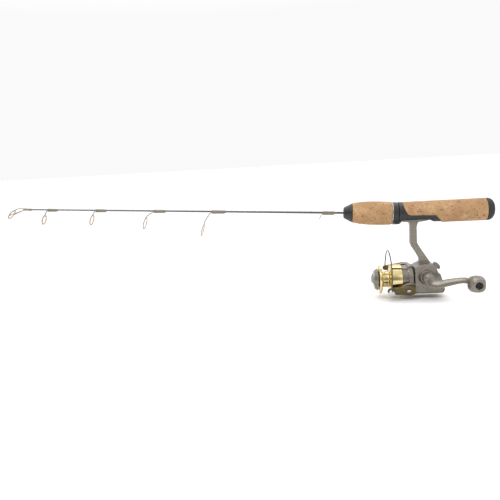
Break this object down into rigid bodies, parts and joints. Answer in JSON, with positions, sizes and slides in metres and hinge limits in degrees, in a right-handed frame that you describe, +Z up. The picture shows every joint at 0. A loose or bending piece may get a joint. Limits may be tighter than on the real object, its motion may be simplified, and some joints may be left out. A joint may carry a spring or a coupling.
{
  "type": "ice fishing rod with spinning reel",
  "caption": "Short ice fishing rod with cork grips, a screw-lock seat and a small spinning reel whose crank, rotor, bail, spool and drag knob move.",
  "frame": {"origin": "on the axis of the rear grip, above the middle of the reel's stem", "axes": "+X along the rear grip to the butt, +Z up, away from the reel, and the crank on the -Y side; the reel's own axis is parallel to X"},
  "size_m": [0.6097, 0.0929, 0.1302],
  "materials": {
    "graphite": "gloss",
    "thread_wrap": "gloss under epoxy",
    "cork": "matt",
    "black_plastic": "satin",
    "butt_rubber": "matt",
    "copper_ring": "polished",
    "guide_steel": "satin",
    "steel": "polished",
    "dark_steel": "polished",
    "silver_paint": "satin paint",
    "gold_spool": "polished gold colour",
    "bronze_paint": "satin",
    "brass": "machined",
    "zinc": "as cast",
    "drag_felt": "matt"
  },
  "bodies": {
    "root": {"blank": "graphite", "tip_top_frame": "guide_steel", "tip_top_ring": "copper_ring", "tip_wrap": "thread_wrap", "guide_frame_1": "guide_steel", "guide_ring_1": "copper_ring", "guide_wrap_1": "thread_wrap", "guide_frame_2": "guide_steel", "guide_ring_2": "copper_ring", "guide_wrap_2": "thread_wrap", "guide_frame_3": "guide_steel", "guide_ring_3": "copper_ring", "guide_wrap_3": "thread_wrap", "guide_frame_4": "guide_steel", "guide_ring_4": "copper_ring", "guide_wrap_4": "thread_wrap", "hook_keeper": "guide_steel", "keeper_wrap": "thread_wrap", "reel_seat": "black_plastic", "rear_grip": "cork", "butt_cap": "butt_rubber", "reel_body": "silver_paint", "side_cover": "silver_paint", "cover_screw_1": "steel", "cover_screw_2": "steel", "cover_screw_3": "steel", "bottom_trim": "bronze_paint", "pinion_bearing": "steel", "crank_bush_far": "brass", "crank_bush_near": "brass", "slider_rail": "steel"},
    "hood": {"front_hood": "black_plastic"},
    "foregrip": {"foregrip_cork": "cork", "thread_sleeve": "black_plastic", "nose_cap": "black_plastic", "foregrip_ring": "steel"},
    "crank": {"drive_gear": "zinc", "crank_arm": "silver_paint", "crank_screw_cap": "silver_paint", "knob_pin": "dark_steel"},
    "crank_grip": {"crank_knob": "silver_paint"},
    "crosswind": {"crosswind_gear": "zinc"},
    "rotor": {"rotor": "silver_paint", "rotor_nut": "steel", "pinion": "brass", "bail_screw_near": "steel", "bail_screw_far": "steel"},
    "bail": {"bail_arm_near": "bronze_paint", "bail_arm_far": "bronze_paint", "bail_wire": "dark_steel", "bail_nose": "steel"},
    "roller": {"line_roller": "steel"},
    "shaft": {"main_shaft": "steel", "slider": "brass", "drag_disc": "steel"},
    "spool": {"spool": "gold_spool", "drag_washer": "drag_felt"},
    "drag": {"drag_knob": "silver_paint", "drag_spring": "steel"},
    "anti_reverse": {"anti_reverse_lever": "silver_paint"}
  },
  "joints": [
    {"name": "hood_slide", "type": "slide", "parent": "root", "child": "hood", "axis": [-0.9983, 0, 0.0584], "range_m": [0, 0.007]},
    {"name": "foregrip_turn", "type": "hinge", "parent": "hood", "child": "foregrip", "pos_m": [-0.024, 0, 0], "axis": [-0.9983, 0, 0.0584], "range_deg": [0, 1010]},
    {"name": "crank_turn", "type": "hinge", "parent": "root", "child": "crank", "pos_m": [0.0127, 0, -0.0776], "axis": [0, 1, 0], "continuous": true},
    {"name": "crank_knob_spin", "type": "hinge", "parent": "crank", "child": "crank_grip", "pos_m": [0.0583, 0, -0.079], "axis": [0, 1, 0], "continuous": true},
    {"name": "rotor_spin", "type": "hinge", "parent": "root", "child": "rotor", "pos_m": [0, 0, -0.0823], "axis": [1, 0, 0], "continuous": true},
    {"name": "crosswind_spin", "type": "hinge", "parent": "root", "child": "crosswind", "pos_m": [0.0222, 0, -0.0797], "axis": [0, 1, 0], "continuous": true},
    {"name": "bail_open", "type": "hinge", "parent": "rotor", "child": "bail", "pos_m": [-0.0095, 0, -0.0823], "axis": [0, -0.891, -0.454], "range_deg": [0, 80]},
    {"name": "roller_spin", "type": "hinge", "parent": "bail", "child": "roller", "pos_m": [-0.0307, 0, -0.0823], "axis": [0, 0.891, 0.454], "continuous": true},
    {"name": "spool_slide", "type": "slide", "parent": "root", "child": "shaft", "axis": [1, 0, 0], "range_m": [0, 0.0064]},
    {"name": "spool_slip", "type": "hinge", "parent": "shaft", "child": "spool", "pos_m": [0, 0, -0.0823], "axis": [1, 0, 0], "continuous": true},
    {"name": "drag_turn", "type": "hinge", "parent": "shaft", "child": "drag", "pos_m": [0, 0, -0.0823], "axis": [1, 0, 0], "range_deg": [-540, 540]},
    {"name": "anti_reverse_switch", "type": "hinge", "parent": "root", "child": "anti_reverse", "pos_m": [0.0242, 0, -0.069], "axis": [0, 1, 0], "range_deg": [0, 22]}
  ],
  "couplings": [
    {"joint": "foregrip_turn", "follows": "hood_slide", "rad_per_m": 2513.3},
    {"joint": "rotor_spin", "follows": "crank_turn", "ratio": 5.1429},
    {"joint": "crosswind_spin", "follows": "crank_turn", "ratio": -0.8}
  ]
}
